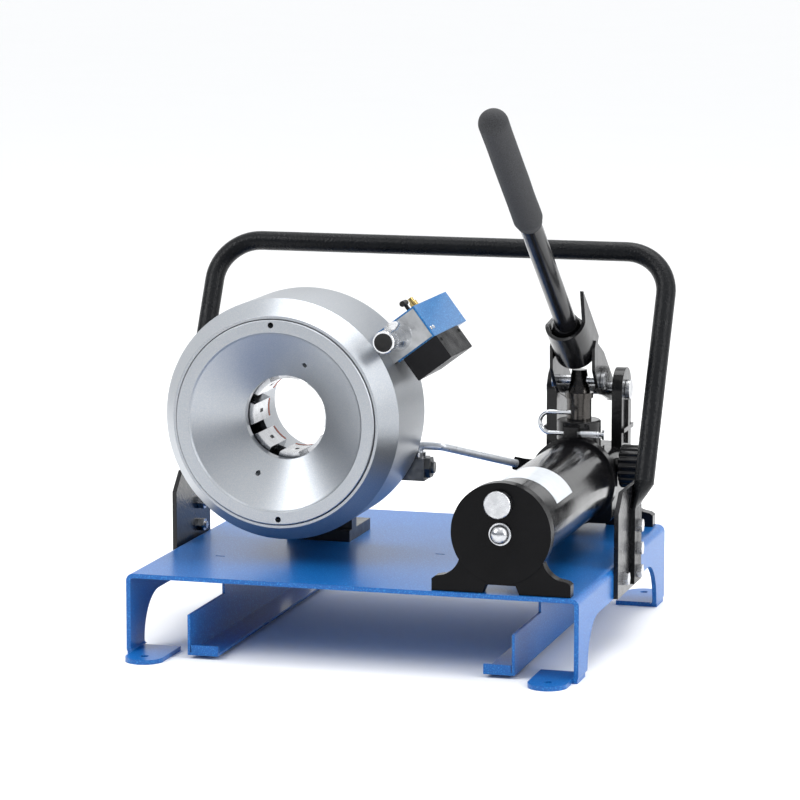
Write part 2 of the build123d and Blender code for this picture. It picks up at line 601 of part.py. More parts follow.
def lever_plane(s):
    a = radians(LEVER_ANGLE)
    y, z = along(s, 0)
    return Plane(origin=(PX, y, z), x_dir=(1, 0, 0), z_dir=(0, -cos(a), sin(a)))


def lever_yoke():
    """Welded fork: two side plates, a front web and a socket for the lever tube."""
    outline = [along(s, n) for s, n in ((-14, 8), (-8, 14), (26, 27), (40, 34), (56, 34), (84, 20), (100, 22),
                                        (152, 22), (160, 16), (176, -18), (170, -22), (60, -22), (-6, -14),
                                        (-14, -8))]
    yoke = None
    for s in (-1, 1):
        x0, x1 = sorted((PX + s * YOKE_IN, PX + s * (YOKE_IN + YOKE_T)))
        p = plate_yz(outline, x0, x1)
        yoke = p if yoke is None else yoke + p
    web = [along(s, n) for s, n in ((98, 18), (152, 18), (152, 22), (98, 22))]
    yoke += plate_yz(web, PX - YOKE_IN - YOKE_T, PX + YOKE_IN + YOKE_T)
    back = [along(s, n) for s, n in ((104, -14), (136, -14), (136, 19), (104, 19))]
    yoke += plate_yz(back, PX - YOKE_IN - 1, PX + YOKE_IN + 1)
    yoke += extrude(lever_plane(134) * Circle(15.5), 28)
    yoke -= extrude(lever_plane(112) * Circle(LEVER_R), 60)
    yoke -= cyl_x(PIVOT_R + RUN_FIT, PX - 60, PX + 60, *PIVOT)
    reach = (PLUNGER_Y - PIVOT[0], PIN_Z - PIVOT[1])
    dy, dz = [v / (reach[0] ** 2 + reach[1] ** 2) ** 0.5 for v in reach]
    c0 = (PLUNGER_Y + dy * -2.5, PIN_Z + dz * -2.5)
    c1 = (PLUNGER_Y + dy * 7.0, PIN_Z + dz * 7.0)
    r = PIN_R + PIN_PLAY
    yoke -= cyl_x(r, PX - 60, PX + 60, *c0)
    yoke -= cyl_x(r, PX - 60, PX + 60, *c1)
    ny, nz = -dz, dy
    quad = [(c0[0] + ny * r, c0[1] + nz * r), (c1[0] + ny * r, c1[1] + nz * r),
            (c1[0] - ny * r, c1[1] - nz * r), (c0[0] - ny * r, c0[1] - nz * r)]
    yoke -= plate_yz(quad, PX - 60, PX + 60)
    return yoke


def lever_tube():
    tube = extrude(lever_plane(112) * (Circle(LEVER_R) - Circle(LEVER_R - 2.5)), LEVER_END - 112)
    return tube


def lever_grip():
    grip = extrude(lever_plane(GRIP_START + 10) * Circle(GRIP_R), LEVER_END - GRIP_START - 14)
    grip += loft([lever_plane(GRIP_START) * Circle(LEVER_R + 2), lever_plane(GRIP_START + 10) * Circle(GRIP_R)])
    tip = lever_plane(LEVER_END - 4).origin
    grip += Pos(tip.X, tip.Y, tip.Z) * Sphere(GRIP_R)
    return grip - extrude(lever_plane(GRIP_START - 1) * Circle(LEVER_R), LEVER_END - GRIP_START + 1)


def latch_clip():
    """Wire hairpin: lower leg turns in the collar lug, upper leg lies before the plunger."""
    y, z0, z1 = LATCH_Y, LATCH_Z, LATCH_Z + LATCH_H
    r = (z1 - z0) / 2
    low = cyl_x(2.5, PX - 26, PX + 37, y, z0)
    up = cyl_x(2.5, PX - 26, PX - 2, y, z1)
    bend = Pos(PX - 26, y, z0 + r) * Rot(90, 0, 0) * Torus(r, 2.5)
    bend &= box(PX - 60, PX - 26, y - 10, y + 10, z0 - 20, z1 + 20)
    clip = low + up + bend
    return clip + cyl_x(5.5, PX + 34, PX + 37, y, z0)


def latch_spring():
    x0, x1 = PX + 8.2, PX + 33.0
    pitch = (x1 - x0) / 7
    wire = [cyl_x(4.2, x0 + i * pitch, x0 + (i + 0.55) * pitch, LATCH_Y, LATCH_Z) for i in range(7)]
    body = cyl_x(3.4, x0, x1 - 1, LATCH_Y, LATCH_Z)
    for w in wire:
        body += w
    return body - cyl_x(2.8, x0 - 1, x1 + 1, LATCH_Y, LATCH_Z)


def release_knob():
    x0 = PX + CHEEK_X + 1.0
    knob = cyl_x(DIAL_R, x0 + 6, x0 + 24, DIAL_Y, DIAL_Z)
    knob = chamfer(knob.edges().filter_by(GeomType.CIRCLE), 1.2)
    r = DIAL_R + 1.2
    for k in range(10):
        a = radians(36 * k)
        knob -= cyl_x(3.0, x0 + 5, x0 + 25, DIAL_Y + r * cos(a), DIAL_Z + r * sin(a))
    return knob + cyl_x(6.0, PX + CHEEK_X - 12, x0 + 8, DIAL_Y, DIAL_Z)


def rear_port():
    port = hex_x(20.0, PX + CHEEK_X, PX + CHEEK_X + 12, PORT_Y, PORT_Z)
    return port + cyl_x(7.0, PX + CHEEK_X + 12, PX + CHEEK_X + 20, PORT_Y, PORT_Z)


PARTS = {
    "base_plate": base_plate,
    "rail_left": lambda: rail(-1),
    "rail_right": lambda: rail(1),
    "handle_tube": handle_tube,
    "bracket_left": lambda: bracket(-1),
    "bracket_right": lambda: bracket(1),
    "handle_bolts_left": lambda: handle_bolts(-1),
    "handle_bolts_right": lambda: handle_bolts(1),
    "head_housing": head_housing,
    "front_cover": front_cover,
    "rear_cover": rear_cover,
    "pressure_piston": pressure_piston,
    "piston_seals": piston_seals,
    "pedestal": pedestal,
    "pedestal_screws": pedestal_screws,
    "control_block": control_block,
    "control_cover": control_cover,
    "switch_box": switch_box,
    "knob_sleeve": knob_sleeve,
    "micrometer_knob": micrometer_knob,
    "brass_elbow": brass_elbow,
    "bleed_nipple": bleed_nipple,
    "line_block": line_block,
    "line_plug": line_plug,
    "hydraulic_tube": hydraulic_tube,
    "tube_nut": tube_nut,
    "pump_port": pump_port,
    "front_cap": front_cap,
    "pump_tank": pump_tank,
    "vent_cap": vent_cap,
    "tie_rod": tie_rod,
    "pump_head": pump_head,
    "pump_collar": pump_collar,
    "plunger": plunger,
    "plunger_pin": plunger_pin,
    "pivot_pin": pivot_pin,
    "lever_yoke": lever_yoke,
    "lever_tube": lever_tube,
    "lever_grip": lever_grip,
    "latch_clip": latch_clip,
    "latch_spring": latch_spring,
    "release_knob": release_knob,
    "rear_port": rear_port,
}
for i in range(8):
    PARTS["master_die_%d" % (i + 1)] = lambda i=i: master_die(i)
    PARTS["die_insert_%d" % (i + 1)] = lambda i=i: die_insert(i)

for name, make in PARTS.items():
    shape = make()
    if not isinstance(shape, Compound) or len(shape.solids()) == 1:
        shape = shape.solids()[0] if len(shape.solids()) == 1 else shape
    print(name, len(shape.solids()), round(shape.volume / 1000.0, 2))
    export_step(shape, "parts/%s.step" % name)
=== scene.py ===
"""Hose crimping machine with a hand pump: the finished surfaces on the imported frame, in metres."""
import bmesh
import bpy
import numpy as np
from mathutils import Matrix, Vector


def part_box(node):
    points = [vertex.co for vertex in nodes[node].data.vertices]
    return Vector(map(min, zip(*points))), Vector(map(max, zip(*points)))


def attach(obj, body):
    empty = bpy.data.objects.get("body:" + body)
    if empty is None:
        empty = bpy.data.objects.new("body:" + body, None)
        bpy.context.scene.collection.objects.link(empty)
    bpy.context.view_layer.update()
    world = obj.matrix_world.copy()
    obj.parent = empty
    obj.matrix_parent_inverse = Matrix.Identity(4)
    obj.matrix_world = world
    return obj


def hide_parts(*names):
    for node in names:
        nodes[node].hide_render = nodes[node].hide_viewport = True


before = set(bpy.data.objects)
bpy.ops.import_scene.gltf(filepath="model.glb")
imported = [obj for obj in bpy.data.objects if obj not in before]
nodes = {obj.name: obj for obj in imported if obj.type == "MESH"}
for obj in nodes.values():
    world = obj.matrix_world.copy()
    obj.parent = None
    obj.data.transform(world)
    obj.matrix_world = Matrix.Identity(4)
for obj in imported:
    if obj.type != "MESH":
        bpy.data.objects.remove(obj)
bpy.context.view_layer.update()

# ---- Base plate and die store rails -------------------------------------------------
# One 5 mm steel sheet, laser cut and folded down at both sides into skirts, legs and foot
# tabs. Two folded rails under it carry the spare dies. All of it is powder coated a strong
# gloss blue with a fine pale grain in the coat.


def shader(name, colour, roughness, metallic=0.0, coat=0.0):
    """Material with its Principled shader set; returns it, its node tree, the shader and the
    object coordinates that every pattern reads."""
    mat = bpy.data.materials.new(name)
    mat.use_nodes = True
    tree = mat.node_tree
    principled = tree.nodes["Principled BSDF"]
    principled.inputs["Base Color"].default_value = (*colour, 1.0)
    principled.inputs["Roughness"].default_value = roughness
    principled.inputs["Metallic"].default_value = metallic
    principled.inputs["Coat Weight"].default_value = coat
    principled.inputs["Coat Roughness"].default_value = 0.12
    place = tree.nodes.new("ShaderNodeTexCoord").outputs["Object"]
    return mat, tree, principled, place


def grain(tree, place, scale, detail=2.0, squeeze=(1.0, 1.0, 1.0)):
    """Noise over the object, its cells 1/scale metres wide and that many times narrower along each
    axis as squeeze says."""
    mapping = tree.nodes.new("ShaderNodeMapping")
    mapping.inputs["Scale"].default_value = squeeze
    tree.links.new(place, mapping.inputs["Vector"])
    noise = tree.nodes.new("ShaderNodeTexNoise")
    noise.inputs["Scale"].default_value = scale
    noise.inputs["Detail"].default_value = detail
    tree.links.new(mapping.outputs["Vector"], noise.inputs["Vector"])
    return noise.outputs["Fac"]


def between(tree, value, low, high, first, second):
    """Colour going from first to second while value goes from low to high."""
    ramp = tree.nodes.new("ShaderNodeValToRGB")
    ramp.color_ramp.elements[0].position = low
    ramp.color_ramp.elements[1].position = high
    ramp.color_ramp.elements[0].color = (*first, 1.0)
    ramp.color_ramp.elements[1].color = (*second, 1.0)
    tree.links.new(value, ramp.inputs["Fac"])
    return ramp.outputs["Color"]


def blend_colours(tree, factor, first, second):
    """Mix of two colours, each a socket or three numbers, by a factor."""
    mix = tree.nodes.new("ShaderNodeMix")
    mix.data_type = "RGBA"
    for socket, value in ((mix.inputs[0], factor), (mix.inputs[6], first), (mix.inputs[7], second)):
        if isinstance(value, bpy.types.NodeSocket):
            tree.links.new(value, socket)
        else:
            socket.default_value = value if isinstance(value, float) else (*value, 1.0)
    return mix.outputs[2]


def relief(tree, principled, height, strength, distance, edge=0.0):
    """Bump from a height, over edges that look broken by the radius edge."""
    bump = tree.nodes.new("ShaderNodeBump")
    bump.inputs["Strength"].default_value = strength
    bump.inputs["Distance"].default_value = distance
    tree.links.new(height, bump.inputs["Height"])
    if edge:
        bevel = tree.nodes.new("ShaderNodeBevel")
        bevel.samples = 4
        bevel.inputs["Radius"].default_value = edge
        tree.links.new(bevel.outputs["Normal"], bump.inputs["Normal"])
    tree.links.new(bump.outputs["Normal"], principled.inputs["Normal"])


def dress(material, *names):
    """Puts a material into every slot of the named CAD nodes."""
    for name in names:
        slots = nodes[name].data.materials
        if not len(slots):
            slots.append(material)
        for i in range(len(slots)):
            slots[i] = material


def blue_powder(name, colour, speck, edge):
    """Blue powder coat: pale specks about a millimetre wide, slow drift of tone and a faint orange peel."""
    mat, tree, principled, place = shader(name, colour, 0.34, coat=0.12)
    principled.inputs["Specular IOR Level"].default_value = 0.3
    drift = between(tree, grain(tree, place, 9.0), 0.35, 0.7, tuple(0.88 * c for c in colour), colour)
    specks = between(tree, grain(tree, place, 620.0, 1.0), 0.52, 0.72, (0, 0, 0), (0.6, 0.6, 0.6))
    tree.links.new(blend_colours(tree, specks, drift, speck), principled.inputs["Base Color"])
    relief(tree, principled, grain(tree, place, 420.0, 1.0), 0.18, 0.0004, edge)
    return mat


blue_coat = blue_powder("blue_coat", (0.003, 0.104, 0.38), speck=(0.04, 0.30, 0.68), edge=0.0008)
dress(blue_coat, "base_plate", "rail_left", "rail_right")

# ---- Handle brackets and bolts -------------------------------------------------------
# Two plates of black coated sheet bolted to the skirts, with bright zinc hexagon bolts that
# also pinch the flattened ends of the carrying handle.


def black_coat(name, colour, roughness, coat, peel, size, edge, shine=0.22):
    """Black coat over metal: slow drift of tone and gloss, and an orange peel whose bumps are
    1/size metres wide."""
    mat, tree, principled, place = shader(name, colour, roughness, coat=coat)
    principled.inputs["Specular IOR Level"].default_value = shine
    tone = between(tree, grain(tree, place, 22.0, 3.0), 0.3, 0.75, colour, tuple(1.4 * c for c in colour))
    tree.links.new(tone, principled.inputs["Base Color"])
    patches = grain(tree, place, 60.0, 3.0)
    dull = between(tree, patches, 0.3, 0.7, (roughness * 0.8,) * 3, (roughness * 1.3,) * 3)
    tree.links.new(dull, principled.inputs["Roughness"])
    relief(tree, principled, grain(tree, place, size, 2.0), peel, 0.0006, edge)
    return mat


def bright_metal(name, colour, roughness, scratch, size, squeeze=(1.0, 1.0, 1.0), edge=0.0):
    """Plated or bare bright metal: fine scratches from a grain of the given size and squeeze, and a
    gloss that drifts over the surface."""
    mat, tree, principled, place = shader(name, colour, roughness, metallic=1.0)
    tone = between(tree, grain(tree, place, 90.0, 3.0), 0.3, 0.7, tuple(0.78 * c for c in colour), colour)
    tree.links.new(tone, principled.inputs["Base Color"])
    patches = grain(tree, place, 160.0, 4.0)
    dull = between(tree, patches, 0.3, 0.7, (roughness * 0.7,) * 3, (roughness * 1.4,) * 3)
    tree.links.new(dull, principled.inputs["Roughness"])
    relief(tree, principled, grain(tree, place, size, 3.0, squeeze), scratch, 0.0003, edge)
    return mat


bracket_black = black_coat("bracket_black", (0.006, 0.006, 0.007), roughness=0.22, coat=0.2, peel=0.5,
                           size=330.0, edge=0.0007)
zinc = bright_metal("bright_zinc", (0.58, 0.59, 0.61), roughness=0.26, scratch=0.12, size=900.0,
                    edge=0.0004)
dress(bracket_black, "bracket_left", "bracket_right")
dress(zinc, "handle_bolts_left", "handle_bolts_right")

# ---- Carrying handle -------------------------------------------------------------------
# A bent steel tube under a thick black coat with a leathery grain. Its ends are flattened
# and drilled for the bracket bolts.
handle_coat = black_coat("handle_coat", (0.0045, 0.005, 0.006), roughness=0.28, coat=0.0, peel=1.0,
                         size=420.0, edge=0.0, shine=0.14)
dress(handle_coat, "handle_tube")

# ---- Crimping head -----------------------------------------------------------------------
# A turned steel drum in silver paint, with a screwed-in front cover whose funnel leads to
# the dies, and a rear cover with the inner sleeve. Paint with fine metal flake. A ground steel
# ring piston slides inside on two black rubber seals.
head_lo, head_hi = (Vector(v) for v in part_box("front_cover"))
head_x, head_z = (head_lo.x + head_hi.x) / 2, (head_lo.z + head_hi.z) / 2


def silver(name, colour, roughness, flake, rings=0.0, edge=0.0):
    """Silver finish round the head axis: bright flakes, and turning marks as rings of the distance
    from the axis."""
    mat, tree, principled, place = shader(name, colour, roughness, metallic=0.82)
    speckle = grain(tree, place, 1100.0, 1.0)
    flakes = between(tree, speckle, 0.4, 0.75, tuple(0.95 * c for c in colour), (flake,) * 3)
    tree.links.new(flakes, principled.inputs["Base Color"])
    height = grain(tree, place, 700.0, 2.0)
    if rings:
        flat = tree.nodes.new("ShaderNodeMapping")
        flat.inputs["Location"].default_value = (-head_x, 0.0, -head_z)
        flat.inputs["Scale"].default_value = (1.0, 0.0, 1.0)
        tree.links.new(place, flat.inputs["Vector"])
        length = tree.nodes.new("ShaderNodeVectorMath")
        length.operation = "LENGTH"
        tree.links.new(flat.outputs["Vector"], length.inputs[0])
        ring = tree.nodes.new("ShaderNodeTexNoise")
        ring.noise_dimensions = "1D"
        ring.inputs["Scale"].default_value = rings
        ring.inputs["Detail"].default_value = 3.0
        tree.links.new(length.outputs["Value"], ring.inputs["W"])
        height = ring.outputs["Fac"]
    relief(tree, principled, height, 0.1, 0.0004, edge)
    return mat


drum_silver = silver("drum_silver", (0.36, 0.39, 0.43), roughness=0.36, flake=0.46, edge=0.0006)
cover_silver = silver("cover_silver", (0.37, 0.40, 0.44), roughness=0.33, flake=0.46, rings=1400.0,
                      edge=0.0006)
dress(drum_silver, "head_housing")
dress(cover_silver, "front_cover", "rear_cover")

piston_steel = bright_metal("ground_piston", (0.42, 0.42, 0.44), roughness=0.30, scratch=0.10, size=500.0,
                            squeeze=(1.0, 6.0, 1.0), edge=0.0004)
seal_rubber, tree, principled, place = shader("seal_rubber", (0.012, 0.012, 0.012), 0.55)
relief(tree, principled, grain(tree, place, 300.0), 0.2, 0.0003)
dress(piston_steel, "pressure_piston")
dress(seal_rubber, "piston_seals")

# ---- Dies ------------------------------------------------------------------------------
# Eight master dies in black oxide steel carry eight hardened inserts with ground, hollow
# faces. Each face has a band of orange paint at its rear end and a black clamping pin at the
# bottom of the pocket in its middle.
die_black = bright_metal("oxide_black", (0.035, 0.034, 0.036), roughness=0.34, scratch=0.15, size=600.0,
                         squeeze=(1.0, 3.0, 1.0), edge=0.0004)
die_face = bright_metal("ground_die", (0.52, 0.53, 0.55), roughness=0.22, scratch=0.12, size=420.0,
                        squeeze=(1.0, 9.0, 1.0), edge=0.0003)
bore = 0.0412                       # radius of the open dies' hollow faces
flank = 0.0055                      # from the side of a die to its radial plane
unpainted = 0.02                    # angle left bare at each end of a band
band_ends = (-0.0365, -0.0325)      # front and rear of a band, along Y
pin_ends = (-0.0648, -0.0552)       # the same for a pin
pin_half = 0.042                    # half the width of a pin, as an angle
band_paint, tree, principled, place = shader("signal_orange", (0.62, 0.085, 0.012), 0.45)
relief(tree, principled, grain(tree, place, 500.0), 0.15, 0.0003)


def finished(name, mesh, material, crease=0.6):
    """Object of a mesh with its faces turned outward, smooth but for creases, in one material."""
    shell = bmesh.new()
    shell.from_mesh(mesh)
    bmesh.ops.recalc_face_normals(shell, faces=shell.faces)
    shell.to_mesh(mesh)
    shell.free()
    mesh.shade_smooth()
    mesh.set_sharp_from_angle(angle=crease)
    mesh.materials.append(material)
    piece = bpy.data.objects.new(name, mesh)
    bpy.context.collection.objects.link(piece)
    return piece


def slab(name, outside, inside, material):
    """Thin closed shell between two like grids of points, joined all round their edges."""
    rows, columns = outside.shape[:2]
    top, low = np.arange(2 * rows * columns).reshape(2, rows, columns)
    rim = np.concatenate([top[0, :-1], top[:-1, -1], top[-1, :0:-1], top[:0:-1, 0]])
    rim_low = rim + rows * columns
    quads = [np.stack([grid[:-1, :-1], grid[:-1, 1:], grid[1:, 1:], grid[1:, :-1]], -1).reshape(-1, 4)
             for grid in (top, low[:, ::-1])]
    quads.append(np.stack([rim, rim_low, np.roll(rim_low, -1), np.roll(rim, -1)], -1))
    mesh = bpy.data.meshes.new(name)
    points = np.concatenate([outside.reshape(-1, 3), inside.reshape(-1, 3)])
    mesh.from_pydata(points.tolist(), [], np.concatenate(quads).tolist())
    return finished(name, mesh, material)


def face_arc(middle, half, columns, ends, radius):
    """Grid of points on a cylinder round the head axis: (x, z) = axis + radius (cos a, sin a), with the
    angle a up to half either side of the middle, and y between the two ends."""
    a, y = np.meshgrid(middle + np.linspace(-half, half, columns), np.linspace(*ends, 3), indexing="ij")
    return np.stack([head_x + radius * np.cos(a), y, head_z + radius * np.sin(a)], -1)


for k in range(1, 9):
    dress(die_black, "master_die_%d" % k)
    dress(die_face, "die_insert_%d" % k)
    middle = np.radians(45.0 * (k - 1))
    # The paint goes from 0.3 mm inside the bore to 0.1 mm into the face.
    half = np.radians(22.5) - np.arcsin(flank / bore) - unpainted
    arcs = [face_arc(middle, half, 25, band_ends, r) for r in (bore - 0.0003, bore + 0.0001)]
    band = slab("die_band_%d" % k, *arcs, band_paint)
    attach(band, "die_%d" % k)
    # The pin's end lies 0.8 mm below the face.
    arcs = [face_arc(middle, pin_half, 5, pin_ends, r) for r in (bore + 0.0008, bore + 0.0024)]
    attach(slab("die_pin_%d" % k, *arcs, die_black), "die_%d" % k)

# ---- Pedestal ---------------------------------------------------------------------------
# A welded black bracket behind the drum, screwed down through the base and into the rear
# cover with zinc cap screws.
pedestal_black = black_coat("pedestal_black", (0.010, 0.010, 0.011), roughness=0.35, coat=0.3, peel=0.3,
                            size=400.0, edge=0.0008)
dress(pedestal_black, "pedestal")
dress(zinc, "pedestal_screws")

# ---- Control unit ------------------------------------------------------------------------
# A milled aluminium face block under a folded blue cover, with a black plastic switch box below
# and brass and black fittings on top, held by small round-headed screws. The micrometer's chromed
# knob has a black disc on its end and turns in front of a polished cone.
block_grey = bright_metal("milled_aluminium", (0.50, 0.51, 0.52), roughness=0.42, scratch=0.12,
                          size=700.0, squeeze=(1.0, 1.0, 5.0), edge=0.0006)
knob_steel = bright_metal("satin_chrome", (0.78, 0.79, 0.81), roughness=0.20, scratch=0.10, size=800.0,
                          edge=0.0003)
brass = bright_metal("brass", (0.72, 0.53, 0.20), roughness=0.26, scratch=0.12, size=700.0, edge=0.0003)
fitting_black = black_coat("fitting_black", (0.010, 0.010, 0.010), roughness=0.40, coat=0.0, peel=0.2,
                           size=700.0, edge=0.0004)
cover_blue = blue_powder("cover_blue", (0.008, 0.12, 0.34), speck=(0.09, 0.40, 0.74), edge=0.0006)
switch_plastic = black_coat("switch_plastic", (0.006, 0.006, 0.007), roughness=0.40, coat=0.0, peel=0.35,
                            size=1100.0, edge=0.0006, shine=0.15)
dress(block_grey, "control_block")
dress(knob_steel, "micrometer_knob")
dress(cover_blue, "control_cover")
dress(switch_plastic, "switch_box")
dress(brass, "brass_elbow")
dress(fitting_black, "bleed_nipple")

lean = np.radians(37.0)     # the unit's outward direction above the horizontal
knob_out = 0.1515           # the knob's axis, outward from the head axis
outward = np.array([np.cos(lean), 0.0, np.sin(lean)])
across = np.array([-np.sin(lean), 0.0, np.cos(lean)])
head_axis = np.array([head_x, 0.0, head_z])


def turned(name, line, origin, axis, material, around=72, swell=0.0, crease=0.6):
    """Closed skin of revolution. Each (s, r) of the line swings round the axis:
    point = origin + s axis + r (1 + swell) (cos a first + sin a second), and the two ends are points."""
    s, r = np.array(line).T
    axis = np.array(axis) / np.linalg.norm(axis)
    first = np.cross(axis, (0.31, 0.87, 0.38))
    first /= np.linalg.norm(first)
    a = np.linspace(0.0, 2 * np.pi, around, endpoint=False)[:, None]
    ring = np.cos(a) * first + np.sin(a) * np.cross(axis, first)
    reach = r[1:-1, None] * (1.0 + swell)
    body = np.array(origin) + s[1:-1, None, None] * axis + reach[..., None] * ring
    ends = [np.array(origin) + s[end] * axis for end in (0, -1)]
    points = np.concatenate([[ends[0]], body.reshape(-1, 3), [ends[1]]])
    index = 1 + np.arange(len(s) - 2)[:, None] * around + np.arange(around)
    after = np.roll(index, -1, axis=1)
    quads = np.stack([index[:-1], after[:-1], after[1:], index[1:]], -1).reshape(-1, 4).tolist()
    start = np.stack([np.zeros(around, int), after[0], index[0]], -1).tolist()
    finish = np.stack([np.full(around, len(points) - 1), index[-1], after[-1]], -1).tolist()
    mesh = bpy.data.meshes.new(name)
    mesh.from_pydata(points.tolist(), [], quads + start + finish)
    return finished(name, mesh, material, crease)


# The black disc on the knob's end: (s, r) of its section, with its middle 0.4 mm below its rim.
disc = [(0.0, 0.0), (0.0, 0.0098), (0.0006, 0.0100), (0.0010, 0.0096), (0.0010, 0.0088), (0.0006, 0.0080),
        (0.0006, 0.0040), (0.0006, 0.0)]
knob_front = head_axis + knob_out * outward + np.array([0.0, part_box("micrometer_knob")[0][1] - 0.0001, 0.0])
knob_disc = turned("knob_disc", disc, knob_front, (0, -1, 0), fitting_black)
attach(knob_disc, "knob")

# The polished cone behind the knob flares towards the block, its radius growing with the power 1.6
# of the way along.
flare = np.linspace(0.0, 1.0, 14)
cone = [(0.0, 0.0), (0.0, 0.0104)] + [(0.001 + 0.028 * f, 0.0108 + 0.0058 * f ** 1.6) for f in flare]
cone += [(0.0300, 0.0160), (0.0300, 0.0)]
sleeve_front = head_axis + knob_out * outward + np.array([0.0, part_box("knob_sleeve")[0][1], 0.0])
knob_cone = turned("knob_cone", cone, sleeve_front, (0, 1, 0), knob_steel, crease=0.5)
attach(knob_cone, "frame")
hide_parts("knob_sleeve")

# Section (s, r) of a screw head: a flat skirt under a low dome, with a socket in its middle.
dome = np.linspace(0.0, np.pi / 2 * 0.8, 8)
skirt, head_r = 0.0003, 0.0023
screw = [(-0.0004, 0.0), (-0.0004, head_r), (skirt, head_r)]
screw += [(skirt + 0.0012 * np.sin(q), head_r * np.cos(q)) for q in dome[1:]]
screw += [(0.0006, 0.0007), (0.0006, 0.0)]
cover_face, box_face = 0.186, 0.188     # outer faces from the head axis
for number, (out, depth, side, metal) in enumerate([
        (cover_face, -0.0760, -0.014, zinc), (cover_face, -0.0665, -0.014, zinc),
        (box_face, -0.074, -0.030, fitting_black), (box_face, -0.002, -0.030, fitting_black)], 1):
    seat = head_axis + out * outward + side * across + np.array([0.0, depth, 0.0])
    screw_head = turned("unit_screw_%d" % number, screw, seat, outward, metal, 24)
    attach(screw_head, "frame")

# ---- Hydraulic line ------------------------------------------------------------------------
# A bent precision steel tube from the pump to a port block on the drum, closed at its side by
# a hexagon plug.
line_grey = bright_metal("phosphated_block", (0.13, 0.135, 0.14), roughness=0.42, scratch=0.15,
                         size=500.0, edge=0.0006)
tube_steel = bright_metal("drawn_tube", (0.80, 0.83, 0.87), roughness=0.34, scratch=0.10, size=300.0,
                          squeeze=(0.2, 1.0, 1.0))
tube_steel.node_tree.nodes["Principled BSDF"].inputs["Metallic"].default_value = 0.55
dress(line_grey, "line_block", "line_plug")
dress(tube_steel, "hydraulic_tube")
dress(zinc, "tube_nut")

# ---- Hand pump ---------------------------------------------------------------------------
# Tank tube, front cap, rear casting and cylinder collar in gloss black enamel, the castings with
# the faint grain of their mould. The plunger is blued, and the pins, the vent cap and the tie rod
# are zinc plated. The tank has two white labels, and a black hand wheel opens the release valve.
tank_black = black_coat("tank_enamel", (0.0045, 0.0045, 0.005), roughness=0.16, coat=0.22, peel=0.10,
                        size=160.0, edge=0.0)
cap_black = black_coat("cap_enamel", (0.004, 0.004, 0.0045), roughness=0.20, coat=0.0, peel=0.18,
                       size=240.0, edge=0.0010, shine=0.07)
cast_black = black_coat("casting_enamel", (0.0045, 0.0045, 0.005), roughness=0.20, coat=0.15, peel=0.30,
                        size=220.0, edge=0.0014)
rod_steel = bright_metal("blued_rod", (0.075, 0.070, 0.066), roughness=0.22, scratch=0.10, size=400.0,
                         squeeze=(1.0, 1.0, 8.0))
dress(tank_black, "pump_tank")
dress(cap_black, "front_cap", "pump_port", "rear_port")
dress(cast_black, "pump_head", "pump_collar")
dress(rod_steel, "plunger")
dress(zinc, "vent_cap", "tie_rod", "plunger_pin", "pivot_pin")

# Two bare white film labels are stuck round the tank's upper right side. Each is an arc about the
# tank axis, (x, z) = axis + r (sin a, cos a), from 0.1 mm inside the tank's skin to 0.25 mm outside.
tank_lo, tank_hi = (np.array(v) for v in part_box("pump_tank"))
tank_x, tank_r = (tank_lo[0] + tank_hi[0]) / 2, (tank_hi[0] - tank_lo[0]) / 2
tank_z = tank_lo[2] + tank_r
film, tree, principled, place = shader("white_film", (0.86, 0.87, 0.86), 0.38, coat=0.3)
tree.links.new(between(tree, grain(tree, place, 60.0), 0.3, 0.7, (0.52, 0.55, 0.58), (0.60, 0.63, 0.66)),
               principled.inputs["Base Color"])
for number, (y0, y1, a0, a1) in enumerate([(-0.192, -0.178, -20.0, 52.0),
                                           (-0.136, -0.066, -30.0, 64.0)], 1):
    a, y = np.meshgrid(np.radians(np.linspace(a0, a1, 33)), np.linspace(y0, y1, 9), indexing="ij")
    arcs = [np.stack([tank_x + r * np.sin(a), y, tank_z + r * np.cos(a)], -1)
            for r in (tank_r + 0.00025, tank_r - 0.0001)]
    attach(slab("tank_label_%d" % number, *arcs, film), "frame")

# The release valve's hand wheel is moulded in black with eighteen ribs: its radius swings by about a
# millimetre either way at each rib, and its rims are rounded. Its section starts at the spindle's side.
wheel_lo, wheel_hi = (np.array(v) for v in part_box("release_knob"))
stem = 0.0185                       # from the spindle's inner end to the wheel
wheel_mid = (wheel_lo + wheel_hi) / 2
wheel_centre = np.array([wheel_lo[0] + stem, wheel_mid[1], wheel_mid[2]])
wheel_r, wheel_w, rim_round = 0.0235, 0.026, 0.002
ribs, rib_swing, around = 18, 0.045, 288
q = np.linspace(0.0, np.pi / 2, 6)
wheel = [(-0.006, 0.0), (-0.006, 0.009), (0.0, 0.009)]
wheel += [(rim_round - rim_round * np.cos(v), wheel_r - rim_round + rim_round * np.sin(v)) for v in q]
wheel += [(wheel_w - rim_round + rim_round * np.sin(v), wheel_r - rim_round + rim_round * np.cos(v))
          for v in q]
wheel += [(wheel_w, 0.015), (wheel_w - 0.002, 0.013), (wheel_w - 0.002, 0.0)]
rib = np.clip(1.6 * np.cos(ribs * np.linspace(0.0, 2 * np.pi, around, endpoint=False)), -1.0, 1.0)
on_rim = np.array([r > wheel_r - 2 * rim_round for s, r in wheel[1:-1]])[:, None]
swell = rib_swing * on_rim * rib
hand_wheel = turned("release_wheel", wheel, wheel_centre, (1, 0, 0), cast_black, around, swell, 0.7)
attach(hand_wheel, "release")
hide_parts("release_knob")

# ---- Latch --------------------------------------------------------------------------------
# A chromed hairpin of 5 mm wire that swings up to hold the plunger down, pulled in by a
# small coil spring.
chrome = bright_metal("chrome_wire", (0.82, 0.84, 0.87), roughness=0.12, scratch=0.06, size=500.0)
dress(chrome, "latch_clip")

